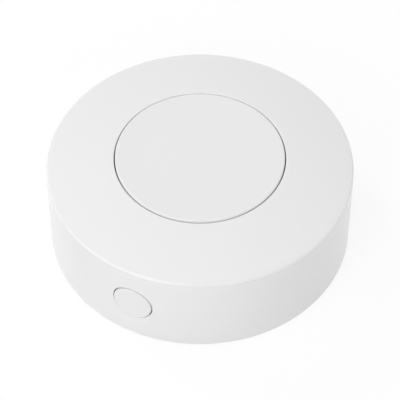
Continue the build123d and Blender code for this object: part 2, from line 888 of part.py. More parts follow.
def as_one_shape(piece):
    """Single shape for one node: a list of solids becomes a group of separate solids."""
    if isinstance(piece, list):
        return Compound(children=[solid for part in piece for solid in part.solids()])
    solids = piece.solids()
    return solids[0] if len(solids) == 1 else Compound(children=list(solids))


os.makedirs("parts", exist_ok=True)
for name, piece in all_pieces().items():
    export_step(as_one_shape(piece), f"parts/{name}.step")

print("body diameter", round(2 * body_radius, 3))
print("overall height", round(overall_height, 3), "rim height", round(rim_height, 3))
print("dome radius", round(dome_radius, 2), "rim slope", round(degrees(asin(body_radius / dome_radius)), 2))
print("side board from", round(side_board_back, 2), "screws at", round(screw_x, 2), round(screw_y, 2))
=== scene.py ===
from math import asin, atan2, cos, degrees, hypot, pi, radians, sin, sqrt

import bmesh
import bpy
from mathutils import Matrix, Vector


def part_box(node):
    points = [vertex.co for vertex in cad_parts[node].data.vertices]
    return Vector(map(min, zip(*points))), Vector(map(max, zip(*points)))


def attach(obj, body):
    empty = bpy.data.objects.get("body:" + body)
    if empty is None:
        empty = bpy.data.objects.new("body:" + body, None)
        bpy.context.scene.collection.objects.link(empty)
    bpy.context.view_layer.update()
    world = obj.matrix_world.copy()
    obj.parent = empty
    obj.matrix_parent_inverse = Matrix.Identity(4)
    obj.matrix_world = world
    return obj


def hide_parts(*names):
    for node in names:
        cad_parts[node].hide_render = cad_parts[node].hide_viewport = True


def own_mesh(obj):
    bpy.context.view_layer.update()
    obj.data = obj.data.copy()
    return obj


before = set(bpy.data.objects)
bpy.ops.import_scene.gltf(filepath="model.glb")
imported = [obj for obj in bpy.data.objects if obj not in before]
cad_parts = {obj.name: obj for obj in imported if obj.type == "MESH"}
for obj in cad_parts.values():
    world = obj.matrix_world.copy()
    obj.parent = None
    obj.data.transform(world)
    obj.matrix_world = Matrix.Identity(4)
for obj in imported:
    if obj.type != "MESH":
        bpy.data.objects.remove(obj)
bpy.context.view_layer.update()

# View of the photograph: a long lens from the front, half way between level and straight down.
# The place and the lens were worked out from the outlines of the body, the rim and the buttons.
mm = 0.001
camera_place = (0, -249.3 * mm, 304.7 * mm)
camera_pitch = 49.98
camera_lens = 174.9
camera_sensor = 36
camera_near = 10 * mm
camera_data = bpy.data.cameras.new("camera")
camera_data.lens = camera_lens
camera_data.sensor_width = camera_sensor
camera_data.clip_start = camera_near
camera = bpy.data.objects.new("camera", camera_data)
camera.location = camera_place
camera.rotation_euler = (radians(90 - camera_pitch), 0, 0)
bpy.context.scene.collection.objects.link(camera)
bpy.context.scene.camera = camera
bpy.context.scene.view_settings.view_transform = "Standard"


# Studio room: even pale light from all round, which the camera and reflections see as plain white.
# One small function adds a node and sets its inputs, and another adds the nodes that work out sums.
def add_node(tree, kind, inputs=None, **settings):
    """Node with its settings made and its inputs set by name or number."""
    node = tree.nodes.new(kind)
    for name, value in settings.items():
        setattr(node, name, value)
    for name, value in (inputs or {}).items():
        node.inputs[name].default_value = value
    return node


def maths(tree, operation, *terms):
    """Result of one operation on plain numbers and on values that vary."""
    node = add_node(tree, "ShaderNodeMath", operation=operation)
    for socket, term in zip(node.inputs, terms):
        if isinstance(term, (int, float)):
            socket.default_value = term
        else:
            tree.links.new(term, socket)
    return node.outputs["Value"]


def seen_directly(tree):
    """Value of 1 for rays from the camera, from a reflection or through glass, and 0 for others."""
    path = add_node(tree, "ShaderNodeLightPath").outputs
    mirror = maths(tree, "MAXIMUM", path["Is Glossy Ray"], path["Is Transmission Ray"])
    return maths(tree, "MAXIMUM", path["Is Camera Ray"], mirror)


white = (1, 1, 1, 1)
room_light = 0.4
white_strength = 1.0
room = bpy.data.worlds.new("room")
room.use_nodes = True
room_tree = room.node_tree
room_tree.nodes.clear()
room_even = add_node(room_tree, "ShaderNodeBackground", {"Color": white, "Strength": room_light})
room_white = add_node(room_tree, "ShaderNodeBackground", {"Color": white, "Strength": white_strength})
room_mix = add_node(room_tree, "ShaderNodeMixShader")
room_out = add_node(room_tree, "ShaderNodeOutputWorld")
room_tree.links.new(seen_directly(room_tree), room_mix.inputs["Fac"])
room_tree.links.new(room_even.outputs[0], room_mix.inputs[1])
room_tree.links.new(room_white.outputs[0], room_mix.inputs[2])
room_tree.links.new(room_mix.outputs[0], room_out.inputs["Surface"])
bpy.context.scene.world = room

# Soft boxes stand round the object, each named by its side. Each has its turn from the front towards the
# right and its rise above the table, in degrees, its width, its power in watts, and whether reflections
# show it. Two draw the light line on the body's rim. The others would only glare on the dome from low down.
box_distance = 700 * mm
wide_box = 600 * mm
small_box = 300 * mm
soft_boxes = {
    "left_box": (-60, 45, wide_box, 0.83, True),
    "front_box": (-30, 30, small_box, 1.11, False),
    "high_box": (-45, 70, small_box, 0.45, True),
    "front_right_box": (30, 30, small_box, 0.74, False),
    "rear_right_box": (120, 30, small_box, 0.71, False),
    "rear_left_box": (-135, 35, small_box, 1.455, False),
}
for name, (turn, rise, width, power, reflected) in soft_boxes.items():
    lamp_data = bpy.data.lights.new(name, "AREA")
    lamp_data.shape = "DISK"
    lamp_data.size = width
    lamp_data.energy = power
    lamp = bpy.data.objects.new(name, lamp_data)
    level = box_distance * cos(radians(rise))
    height = box_distance * sin(radians(rise))
    lamp.location = (level * sin(radians(turn)), -level * cos(radians(turn)), height)
    lamp.rotation_euler = lamp.location.to_track_quat("Z", "Y").to_euler()
    lamp.visible_glossy = reflected
    bpy.context.scene.collection.objects.link(lamp)

# Floor: a wide pale sheet that the object stands on. What the camera and reflections see of it is white,
# apart from the object's own faint shadow.
floor_reach = 3.0
floor_tone = 0.8
shadow_share = 0.15
floor_mesh = bpy.data.meshes.new("floor")
floor_signs = ((-1, -1), (1, -1), (1, 1), (-1, 1))
floor_mesh.from_pydata([(floor_reach * x, floor_reach * y, 0) for x, y in floor_signs], [], [(0, 1, 2, 3)])
floor = bpy.data.objects.new("floor", floor_mesh)
bpy.context.scene.collection.objects.link(floor)
floor_paint = bpy.data.materials.new("floor")
floor_paint.use_nodes = True
floor_tree = floor_paint.node_tree
floor_tree.nodes.clear()
floor_dull = add_node(floor_tree, "ShaderNodeBsdfDiffuse", {"Color": (floor_tone,) * 3 + (1,)})
floor_pale = add_node(floor_tree, "ShaderNodeBsdfDiffuse", {"Color": white})
floor_glow = add_node(floor_tree, "ShaderNodeEmission", {"Color": white, "Strength": white_strength})
floor_shown = add_node(floor_tree, "ShaderNodeMixShader", {"Fac": shadow_share})
floor_mix = add_node(floor_tree, "ShaderNodeMixShader")
floor_out = add_node(floor_tree, "ShaderNodeOutputMaterial")
floor_tree.links.new(floor_glow.outputs[0], floor_shown.inputs[1])
floor_tree.links.new(floor_pale.outputs[0], floor_shown.inputs[2])
floor_tree.links.new(seen_directly(floor_tree), floor_mix.inputs["Fac"])
floor_tree.links.new(floor_dull.outputs[0], floor_mix.inputs[1])
floor_tree.links.new(floor_shown.outputs[0], floor_mix.inputs[2])
floor_tree.links.new(floor_mix.outputs[0], floor_out.inputs["Surface"])
floor_mesh.materials.append(floor_paint)

# Top housing: the white shell, moulded in one shot from hard satin plastic, with the domed roof, the
# straight wall, the collar round the button, four screw bosses, three bayonet tabs and two raised marks
# under its foot. The screws of the chassis hold it from inside.
body_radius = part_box("top_housing")[1].x
side_low, side_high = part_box("side_button")
wall = 1.8 * mm
inner_radius = body_radius - wall
roof = 2.0 * mm
foot_z = 0.25 * mm
rim_z = 18.7 * mm
opening_z = 21.0 * mm
collar_low = 17.0 * mm
opening_radius = 16.75 * mm
collar_radius = opening_radius + 1.2 * mm
rim_round = 0.5 * mm
opening_round = 0.2 * mm
foot_round = 0.25 * mm
inner_round = 1.0 * mm
side_angle = 25.5
side_z = (side_low.z + side_high.z) / 2
side_hole_radius = 4.12 * mm
side_hole_round = 0.15 * mm
dome_centre = (body_radius**2 + rim_z**2 - opening_radius**2 - opening_z**2) / (2 * (rim_z - opening_z))
dome_radius = hypot(body_radius, rim_z - dome_centre)

# The shell's mesh: how many steps each stretch of its outline has, and how many columns go round it.
turn_steps = 360
rim_steps, lip_steps, corner_steps, foot_steps = 8, 6, 6, 5
roof_steps, ceiling_steps, wall_steps, foot_face_steps = 20, 12, 4, 3
collar_inner_steps, collar_outer_steps = 5, 3
hole_round_steps, outer_ring_steps, inner_ring_steps = 5, 6, 4
side_columns = 11
hole_reach = body_radius * sin(radians(side_columns * 360 / turn_steps))
hole_rows = [side_z + hole_reach * i / side_columns for i in range(-side_columns, side_columns + 1)]


def along(start, end, steps):
    """Points from start up to, but not with, the end."""
    return [
        (start[0] + (end[0] - start[0]) * i / steps, start[1] + (end[1] - start[1]) * i / steps)
        for i in range(steps)
    ]


def bend(centre, radius, start, end, steps):
    """Points on an arc of an outline, both ends with it. Angles are in degrees from outwards."""
    angles = [radians(start + (end - start) * i / steps) for i in range(steps + 1)]
    return [(centre[0] + radius * cos(a), centre[1] + radius * sin(a)) for a in angles]


def ball_z(radius, ball):
    """Height of a ball about the dome's centre, at a distance from the upright axis."""
    return dome_centre + sqrt(ball**2 - radius**2)


def ball_points(near, far, ball, steps):
    """Outline of such a ball between two distances from the axis, without its ends."""
    places = [near + (far - near) * i / steps for i in range(1, steps)]
    return [(r, ball_z(r, ball)) for r in places]


def slope_at(radius, ball):
    """Angle of the ball's outward normal, in degrees above level."""
    return 90 - degrees(asin(radius / ball))


def housing_outline():
    """Closed outline of the shell, from the foot's inner edge outwards and round."""
    ceiling = dome_radius - roof
    rim_r, rim_ball = body_radius - rim_round, dome_radius - rim_round
    lip_r, lip_ball = opening_radius + opening_round, dome_radius - opening_round
    corner_r, corner_ball = inner_radius - inner_round, ceiling - inner_round
    rim_centre = (rim_r, ball_z(rim_r, rim_ball))
    lip_centre = (lip_r, ball_z(lip_r, lip_ball))
    corner_centre = (corner_r, ball_z(corner_r, corner_ball))
    rim = bend(rim_centre, rim_round, 0, slope_at(rim_r, rim_ball), rim_steps)
    lip = bend(lip_centre, opening_round, slope_at(lip_r, lip_ball), 180, lip_steps)
    corner = bend(corner_centre, inner_round, slope_at(corner_r, corner_ball), 0, corner_steps)
    foot = bend((body_radius - foot_round, foot_z + foot_round), foot_round, -90, 0, foot_steps)
    collar_foot, collar_head = (collar_radius, collar_low), (collar_radius, ball_z(collar_radius, ceiling))
    points = along((inner_radius, foot_z), foot[0], foot_face_steps) + foot
    points += along((body_radius, foot_z + foot_round), (body_radius, hole_rows[0]), wall_steps)[1:]
    points += [(body_radius, z) for z in hole_rows]
    points += along((body_radius, hole_rows[-1]), rim[0], wall_steps)[1:]
    points += rim + ball_points(rim[-1][0], lip[0][0], dome_radius, roof_steps) + lip
    points += along(lip[-1], (opening_radius, collar_low), collar_inner_steps)[1:]
    points += [(opening_radius, collar_low), collar_foot]
    points += along(collar_foot, collar_head, collar_outer_steps)[1:] + [collar_head]
    points += ball_points(collar_radius, corner[0][0], ceiling, ceiling_steps) + corner
    points += along(corner[-1], (inner_radius, hole_rows[-1]), wall_steps)[1:]
    points += [(inner_radius, z) for z in reversed(hole_rows)]
    points += along((inner_radius, hole_rows[0]), (inner_radius, foot_z), wall_steps)[1:]
    return points


def turned(outline, steps, start=0.0, skip=()):
    """Mesh turned about the upright axis from a closed outline, without the quads in skip."""
    points, faces = [], []
    for column in range(steps):
        angle = radians(start + 360 * column / steps)
        points += [(r * cos(angle), r * sin(angle), z) for r, z in outline]
    rows = len(outline)
    for column in range(steps):
        here, there = column * rows, (column + 1) % steps * rows
        for row in range(rows):
            if (column, row) in skip:
                continue
            after = (row + 1) % rows
            faces.append((here + row, there + row, there + after, here + after))
    return points, faces


def side_point(across, up, out):
    """Place in the side button's own directions: across it, up from its axis, and outwards."""
    angle = radians(side_angle)
    x = across * cos(angle) - out * sin(angle)
    y = -across * sin(angle) - out * cos(angle)
    return (x, y, side_z + up)


def loop_quads(first, second, flip=False):
    """Quads between two closed loops of vertex numbers."""
    quads = []
    for i in range(len(first)):
        j = (i + 1) % len(first)
        quad = (first[i], first[j], second[j], second[i])
        quads.append(quad[::-1] if flip else quad)
    return quads


def window_loop(rows, row_of, columns):
    """Vertex numbers round the window that is left out of the turned wall for the side hole."""
    low, high = row_of[0], row_of[-1]

    def number(column, row):
        return column % turn_steps * rows + row

    loop = [number(c, low) for c in range(-columns, columns)]
    loop += [number(columns, r) for r in row_of[:-1]]
    loop += [number(c, high) for c in range(columns, -columns, -1)]
    loop += [number(-columns, r) for r in reversed(row_of[1:])]
    return loop


def holed_shell():
    """The turned shell with a round hole in its wall, whose outer edge is rounded."""
    outline = housing_outline()
    rows = len(outline)
    outer = [i for i, (r, z) in enumerate(outline) if r == body_radius and z in hole_rows]
    inner = [i for i, (r, z) in enumerate(outline) if r == inner_radius and z in hole_rows]
    columns = [c % turn_steps for c in range(-side_columns, side_columns)]
    skip = {(c, r) for c in columns for r in outer[:-1] + inner[:-1]}
    points, faces = turned(outline, turn_steps, -90 - side_angle, skip)
    outer_loop = window_loop(rows, outer, side_columns)
    inner_loop = window_loop(rows, inner[::-1], side_columns)

    def ring_at(loop, radius, share, rho, sink):
        """New loop of points between the window and a circle of radius rho on the wall."""
        made = []
        for number in loop:
            x, y, z = points[number]
            across = radius * sin(atan2(y, x) + pi / 2 + radians(side_angle))
            up = z - side_z
            far = hypot(across, up)
            near_across, near_up = across / far * rho, up / far * rho
            across, up = near_across + (across - near_across) * share, near_up + (up - near_up) * share
            made.append(len(points))
            points.append(side_point(across, up, sqrt(radius**2 - across**2) - sink))
        return made

    edge = side_hole_radius + side_hole_round
    outer_rings, inner_rings = [outer_loop], [inner_loop]
    for step in range(outer_ring_steps - 1, 0, -1):
        outer_rings.append(ring_at(outer_loop, body_radius, step / outer_ring_steps, edge, 0))
    for step in range(hole_round_steps + 1):
        turn = radians(90 * step / hole_round_steps)
        rho = edge - side_hole_round * sin(turn)
        outer_rings.append(ring_at(outer_loop, body_radius, 0, rho, side_hole_round * (1 - cos(turn))))
    for step in range(inner_ring_steps - 1, -1, -1):
        inner_rings.append(ring_at(inner_loop, inner_radius, step / inner_ring_steps, side_hole_radius, 0))
    for first, second in zip(outer_rings, outer_rings[1:]):
        faces += loop_quads(first, second)
    for first, second in zip(inner_rings, inner_rings[1:]):
        faces += loop_quads(first, second, flip=True)
    faces += loop_quads(outer_rings[-1], inner_rings[-1])
    return points, faces


def moved(form, x, y):
    """The same form at another place on the level."""
    points, faces = form
    return [(px + x, py + y, pz) for px, py, pz in points], faces


def joined(*forms):
    """One list of points and faces from several closed forms."""
    points, faces = [], []
    for more_points, more_faces in forms:
        first = len(points)
        points += more_points
        faces += [tuple(first + number for number in face) for face in more_faces]
    return points, faces


def mesh_object(name, form):
    """Object of points and faces, with all its faces turned outwards."""
    mesh = bpy.data.meshes.new(name)
    mesh.from_pydata(form[0], [], form[1])
    shape = bmesh.new()
    shape.from_mesh(mesh)
    bmesh.ops.recalc_face_normals(shape, faces=shape.faces)
    shape.to_mesh(mesh)
    shape.free()
    piece = bpy.data.objects.new(name, mesh)
    bpy.context.scene.collection.objects.link(piece)
    return piece


def unite(piece, *forms):
    """Join closed forms to a piece, with nothing left inside where they meet."""
    tools = []
    for form in forms:
        tools.append(mesh_object(f"{piece.name}_{len(tools)}", form))
        union = piece.modifiers.new("union", "BOOLEAN")
        union.operation = "UNION"
        union.solver = "EXACT"
        union.object = tools[-1]
    view = bpy.context.evaluated_depsgraph_get()
    united = bpy.data.meshes.new_from_object(piece.evaluated_get(view))
    piece.modifiers.clear()
    piece.data = united
    for tool in tools:
        bpy.data.objects.remove(tool)


board_top = 14.6 * mm
boss_radius = 2.3 * mm
bore_radius = 1.03 * mm
bore_top = 17.7 * mm
boss_sides = 48
screw_x = 18.39 * mm
screw_y = 15.1 * mm


def boss(x, y):
    """Post with a blind bore, from the board up into the roof."""
    top = ball_z(hypot(x, y), dome_radius - roof) + roof / 2
    outline = [(bore_radius, board_top), (boss_radius, board_top), (boss_radius, top), (0, top)]
    outline += [(0, bore_top), (bore_radius, bore_top)]
    return moved(turned(outline, boss_sides), x, y)


tab_middles = (90, 210, 330)
tab_start = -12
tab_end = 11
tab_steps = 16
stop_turns = [12.25, 13.5]
tab_turns = [tab_start + (tab_end - tab_start) * i / tab_steps for i in range(tab_steps + 1)] + stop_turns
tab_low = 1.75 * mm
tab_high = 2.55 * mm
stop_high = 3.6 * mm
tab_reach = 1.25 * mm


def tab(middle):
    """Tab that a lug of the rear cover slides over, with the stop on its end: one closed block."""
    root, tip = inner_radius + wall / 2, inner_radius - tab_reach
    points, faces = [], []
    for turn in tab_turns:
        angle = radians(middle + turn)
        for r, z in ((tip, tab_low), (root, tab_low), (root, tab_high), (tip, tab_high)):
            points.append((r * cos(angle), r * sin(angle), z))
    first, stop = 4 * tab_steps, len(points)
    for a in range(first, stop, 4):
        points += [(x, y, stop_high) for x, y, z in points[a + 2:a + 4]]
    for a in range(0, stop - 4, 4):
        faces += [(a + 3, a + 7, a + 4, a), (a, a + 4, a + 5, a + 1), (a + 1, a + 5, a + 6, a + 2)]
        if a < first:
            faces.append((a + 2, a + 6, a + 7, a + 3))
            continue
        b = stop + (a - first) // 2
        faces += [(a + 2, a + 6, b + 2, b), (b, b + 2, b + 3, b + 1), (b + 1, b + 3, a + 7, a + 3)]
    faces += [(0, 1, 2, 3), (first + 3, first + 2, stop, stop + 1)]
    faces += [(stop - 1, stop - 2, stop - 3, stop - 4), (stop - 2, stop - 1, stop + 5, stop + 4)]
    return points, faces


mark_radius = 0.45 * mm
mark_hole = 0.25 * mm
mark_proud = 0.12 * mm
mark_sides = 32
mark_angle = 270
cover_turn = 24


def foot_mark(angle, inner):
    """Raised dot or ring under the wall."""
    middle = (inner_radius + body_radius) / 2
    outline = [(inner, foot_z - mark_proud), (mark_radius, foot_z - mark_proud)]
    outline += [(mark_radius, foot_z + mark_proud), (inner, foot_z + mark_proud)]
    return moved(turned(outline, mark_sides), middle * cos(radians(angle)), middle * sin(radians(angle)))


housing = mesh_object("top_housing_shell", holed_shell())
bosses = joined(*[boss(x, y) for x in (-screw_x, screw_x) for y in (-screw_y, screw_y)])
foot_marks = joined(foot_mark(mark_angle, 0), foot_mark(mark_angle - cover_turn, mark_hole))
tabs = joined(*[tab(middle) for middle in tab_middles])
unite(housing, bosses, foot_marks, tabs)


# Satin moulded plastic: the mould's fine grain shows as a faint bump, and the tone and the gloss drift a
# little over the surface, as melt that flowed in from the gate leaves them. The group gives both.
def new_group(name, inputs, outputs, kind="NodeSocketFloat"):
    """Node group with inputs of one kind, their usual values, and outputs that are numbers."""
    group = bpy.data.node_groups.new(name, "ShaderNodeTree")
    for label, value in inputs.items():
        group.interface.new_socket(label, in_out="INPUT", socket_type=kind).default_value = value
    for label in outputs:
        group.interface.new_socket(label, in_out="OUTPUT", socket_type="NodeSocketFloat")
    return group, add_node(group, "NodeGroupInput"), add_node(group, "NodeGroupOutput")


def grain_group():
    group, begin, end = new_group("moulded_grain", {"Grain": 6000.0, "Drift": 40.0}, ("Height", "Tone"))
    place = add_node(group, "ShaderNodeTexCoord")
    fine = add_node(group, "ShaderNodeTexNoise", {"Detail": 3.0, "Roughness": 0.6})
    broad = add_node(group, "ShaderNodeTexNoise", {"Detail": 2.0, "Roughness": 0.5})
    for texture, scale in ((fine, "Grain"), (broad, "Drift")):
        group.links.new(place.outputs["Object"], texture.inputs["Vector"])
        group.links.new(begin.outputs[scale], texture.inputs["Scale"])
    group.links.new(fine.outputs["Fac"], end.inputs["Height"])
    group.links.new(broad.outputs["Fac"], end.inputs["Tone"])
    return group


def new_paint(name):
    """Material with its node tree and its surface shader."""
    paint = bpy.data.materials.new(name)
    paint.use_nodes = True
    return paint, paint.node_tree, paint.node_tree.nodes["Principled BSDF"]


def blended(tree, factor, first, second):
    """Colour between two colours that are themselves worked out or plain."""
    mix = add_node(tree, "ShaderNodeMix", data_type="RGBA")
    tree.links.new(factor, mix.inputs["Factor"])
    for name, value in (("A", first), ("B", second)):
        if isinstance(value, tuple):
            mix.inputs[name].default_value = (*value, 1)
        else:
            tree.links.new(value, mix.inputs[name])
    return mix.outputs["Result"]


def set_gloss(tree, surface, factor, roughness):
    """Roughness that a varying value spreads between two limits."""
    spread = add_node(tree, "ShaderNodeMapRange", {"To Min": roughness[0], "To Max": roughness[1]})
    tree.links.new(factor, spread.inputs["Value"])
    tree.links.new(spread.outputs["Result"], surface.inputs["Roughness"])


def set_bump(tree, surface, height, strength, depth):
    """Fine relief from a varying height."""
    bump = add_node(tree, "ShaderNodeBump", {"Strength": strength, "Distance": depth})
    tree.links.new(height, bump.inputs["Height"])
    tree.links.new(bump.outputs["Normal"], surface.inputs["Normal"])


moulded_grain = grain_group()
grain_strength = 0.35
skin_roughness = 0.12


def moulded_plastic(name, dark, light, grain, roughness, depth, skin=0.0):
    """Moulded plastic between two near tones, with a grain size, a roughness range and a bump depth.
    Plastic from a polished mould also has a thin glossy skin."""
    paint, tree, surface = new_paint(name)
    surface.inputs["Coat Weight"].default_value = skin
    surface.inputs["Coat Roughness"].default_value = skin_roughness
    effect = add_node(tree, "ShaderNodeGroup", {"Grain": grain}, node_tree=moulded_grain)
    tree.links.new(blended(tree, effect.outputs["Tone"], dark, light), surface.inputs["Base Color"])
    set_gloss(tree, surface, effect.outputs["Tone"], roughness)
    set_bump(tree, surface, effect.outputs["Height"], grain_strength, depth)
    return paint


def grey(tone):
    return (tone, tone, tone)


sharp_angle = 35


def finish_piece(piece, body, slot, paint, *replaced, evened=True):
    """Smooth shading with kept edges, and what the piece rides on, stands for and is made of."""
    piece.data.shade_smooth()
    piece.data.set_sharp_from_angle(angle=radians(sharp_angle))
    if evened:
        piece.modifiers.new("even_shading", "WEIGHTED_NORMAL").keep_sharp = True
    piece.data.materials.clear()
    piece.data.materials.append(paint)
    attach(piece, body)
    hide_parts(*replaced)


polished_skin = 0.3
shell_white = moulded_plastic(
    "shell_white", grey(0.80), grey(0.82),
    grain=6000, roughness=(0.28, 0.34), depth=0.02 * mm, skin=polished_skin,
)

# The rim of the shell is smoothed by handling: its thin skin is glossier there than on the dome and wall.
# It is fully glossy near the middle of the rim, and as thin as elsewhere from a little further off.
rim_middle = 18.45 * mm
rim_near = 0.3 * mm
rim_far = 0.6 * mm
rim_skin = 1.0
rim_tree = shell_white.node_tree
rim_place = add_node(rim_tree, "ShaderNodeTexCoord")
rim_axes = add_node(rim_tree, "ShaderNodeSeparateXYZ")
rim_tree.links.new(rim_place.outputs["Object"], rim_axes.inputs["Vector"])
rim_off = maths(rim_tree, "ABSOLUTE", maths(rim_tree, "SUBTRACT", rim_axes.outputs["Z"], rim_middle))
rim_span = {"From Min": rim_near, "From Max": rim_far, "To Min": rim_skin, "To Max": polished_skin}
rim_gloss = add_node(rim_tree, "ShaderNodeMapRange", rim_span)
rim_tree.links.new(rim_off, rim_gloss.inputs["Value"])
rim_tree.links.new(rim_gloss.outputs["Result"], rim_tree.nodes["Principled BSDF"].inputs["Coat Weight"])
finish_piece(housing, "housing", "white_shell", shell_white, "top_housing")

# Main button: the wide white cap, moulded in one piece with a shallow dish, a rounded edge, a skirt, a
# spring ring, a middle post and four hooks that catch under the collar. It slides in the collar.
cap_radius = 16.55 * mm
cap_dish = 0.26 * mm
cap_round = 0.3 * mm
cap_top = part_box("main_button")[1].z
cap_under = 19.4 * mm
skirt_low = 18.0 * mm
skirt_inner = cap_radius - 1.2 * mm
post_radius = 1.6 * mm
post_low = 17.6 * mm
ring_outer = 4.94 * mm
ring_inner = 4.34 * mm
ring_low = 18.5 * mm
hook_root = skirt_low + 0.5 * mm
hook_high = 16.9 * mm
hook_low = 16.0 * mm
hook_inner = 15.45 * mm
hook_outer = 16.45 * mm
hook_reach = 1.05 * mm
hook_half = 7
hook_middles = (45, 135, 225, 315)
hook_steps = 8
dish_steps = 24
cap_round_steps = 8
skirt_steps = 4


def button_outline():
    """Outline of the cap from the middle of its dish round to the foot of its post."""
    dish_ball = (cap_radius**2 + cap_dish**2) / (2 * cap_dish)
    dish_centre = cap_top - cap_dish + dish_ball
    edge_r = cap_radius - cap_round
    edge_z = dish_centre - sqrt((dish_ball + cap_round) ** 2 - edge_r**2)
    lean = degrees(asin(edge_r / (dish_ball + cap_round)))
    edge = bend((edge_r, edge_z), cap_round, 90 + lean, 0, cap_round_steps)
    dish = [edge[0][0] * i / dish_steps for i in range(dish_steps)]
    points = [(r, dish_centre - sqrt(dish_ball**2 - r**2)) for r in dish] + edge
    points += along(edge[-1], (cap_radius, skirt_low), skirt_steps)[1:]
    points += [(cap_radius, skirt_low), (skirt_inner, skirt_low), (skirt_inner, cap_under)]
    points += [(ring_outer, cap_under), (ring_outer, ring_low), (ring_inner, ring_low)]
    points += [(ring_inner, cap_under), (post_radius, cap_under), (post_radius, post_low), (0, post_low)]
    return points


def capped_turn(outline, steps):
    """Mesh turned from an open outline whose first and last points lie on the axis."""
    inner = outline[1:-1]
    rows = len(inner)
    points = []
    for column in range(steps):
        angle = radians(360 * column / steps)
        points += [(r * cos(angle), r * sin(angle), z) for r, z in inner]
    top, bottom = len(points), len(points) + 1
    points += [(0, 0, outline[0][1]), (0, 0, outline[-1][1])]
    faces = []
    for column in range(steps):
        here, there = column * rows, (column + 1) % steps * rows
        faces.append((top, here, there))
        faces.append((bottom, there + rows - 1, here + rows - 1))
        faces += [(here + r, here + r + 1, there + r + 1, there + r) for r in range(rows - 1)]
    return points, faces


def hook_block(middle, outer, high):
    """Closed block that is part of an upright tube, as wide as a hook."""
    points, faces = [], []
    start, end = middle - hook_half, middle + hook_half
    for i in range(hook_steps + 1):
        angle = radians(start + (end - start) * i / hook_steps)
        for r, z in ((hook_inner, hook_low), (outer, hook_low), (outer, high), (hook_inner, high)):
            points.append((r * cos(angle), r * sin(angle), z))
    for i in range(hook_steps):
        for j in range(4):
            a, b = 4 * i + j, 4 * i + (j + 1) % 4
            faces.append((a, a + 4, b + 4, b))
    last = 4 * hook_steps
    faces += [(0, 1, 2, 3), (last + 3, last + 2, last + 1, last)]
    return points, faces


def hook_part(outer, high):
    """Part of each hook: its leg under the skirt, or its nose that reaches out under the collar."""
    return joined(*[hook_block(middle, outer, high) for middle in hook_middles])


main_button = mesh_object("main_button_cap", capped_turn(button_outline(), turn_steps))
unite(main_button, hook_part(hook_outer, hook_root), hook_part(hook_outer + hook_reach, hook_high))
button_white = moulded_plastic(
    "button_white", grey(0.79), grey(0.81),
    grain=7000, roughness=(0.27, 0.33), depth=0.015 * mm, skin=polished_skin,
)
finish_piece(main_button, "main_button", "white_button", button_white, "main_button")

# Side button: a small white cap, moulded in the main button's plastic. Its face follows the wall, and it
# has a flange behind the wall and a short stem. It slides inwards in its hole.
side_cap_radius = 3.95 * mm
side_cap_round = 0.3 * mm
side_proud = 0.2 * mm
side_flange_radius = 5.0 * mm
side_flange_gap = 0.15 * mm
side_flange_thick = 0.8 * mm
side_stem_radius = 1.5 * mm
side_stem_length = 0.7 * mm
side_flange_front = sqrt(inner_radius**2 - side_flange_radius**2) - side_flange_gap
side_flange_back = side_flange_front - side_flange_thick
side_stem_end = side_flange_back - side_stem_length
side_sides = 96
side_face_steps = 10
side_round_steps = 6


def side_button_form():
    """Rings from the middle of the face to the end of the stem. Those of the face follow the wall."""
    flat = side_cap_radius - side_cap_round
    rings = [(flat * i / side_face_steps, None, 0.0) for i in range(1, side_face_steps + 1)]
    for turn in (radians(90 * i / side_round_steps) for i in range(1, side_round_steps + 1)):
        rings.append((flat + side_cap_round * sin(turn), None, side_cap_round * (1 - cos(turn))))
    rings += [(side_cap_radius, side_flange_front, 0), (side_flange_radius, side_flange_front, 0)]
    rings += [(side_flange_radius, side_flange_back, 0), (side_stem_radius, side_flange_back, 0)]
    rings += [(side_stem_radius, side_stem_end, 0)]
    points, faces = [], []
    for rho, out, sink in rings:
        for i in range(side_sides):
            angle = 2 * pi * i / side_sides
            across, up = rho * cos(angle), rho * sin(angle)
            wall_out = sqrt((body_radius + side_proud) ** 2 - across**2) - sink
            points.append(side_point(across, up, wall_out if out is None else out))
    loops = [list(range(n * side_sides, (n + 1) * side_sides)) for n in range(len(rings))]
    for first, second in zip(loops, loops[1:]):
        faces += loop_quads(first, second, flip=True)
    front, back = len(points), len(points) + 1
    points += [side_point(0, 0, body_radius + side_proud), side_point(0, 0, side_stem_end)]
    for i in range(side_sides):
        j = (i + 1) % side_sides
        faces.append((front, loops[0][i], loops[0][j]))
        faces.append((back, loops[-1][j], loops[-1][i]))
    return points, faces


side_button = mesh_object("side_button_cap", side_button_form())
finish_piece(side_button, "side_button", "white_button", button_white, "side_button")

# Return spring: a coil of round steel wire with closed ends, standing on the board round the push
# switch. It lifts the cap evenly; here it rides on the housing and keeps its length as the cap is pressed.
spring_low, spring_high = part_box("return_spring")
wire_radius = 0.25 * mm
coil_radius = (spring_high.x - spring_low.x) / 2 - wire_radius
coil_low = spring_low.z + wire_radius
coil_high = spring_high.z - wire_radius
coil_turns = 5
closed_turns = 1
closed_climb = 2.02 * wire_radius


def coil_height(turn):
    """Height of the wire at a turn: closed at both ends, with an even climb between them."""
    open_low, open_high = coil_low + closed_climb, coil_high - closed_climb
    if turn < closed_turns:
        return coil_low + closed_climb * turn / closed_turns
    if turn > coil_turns - closed_turns:
        return coil_high - closed_climb * (coil_turns - turn) / closed_turns
    share = (turn - closed_turns) / (coil_turns - 2 * closed_turns)
    return open_low + (open_high - open_low) * share


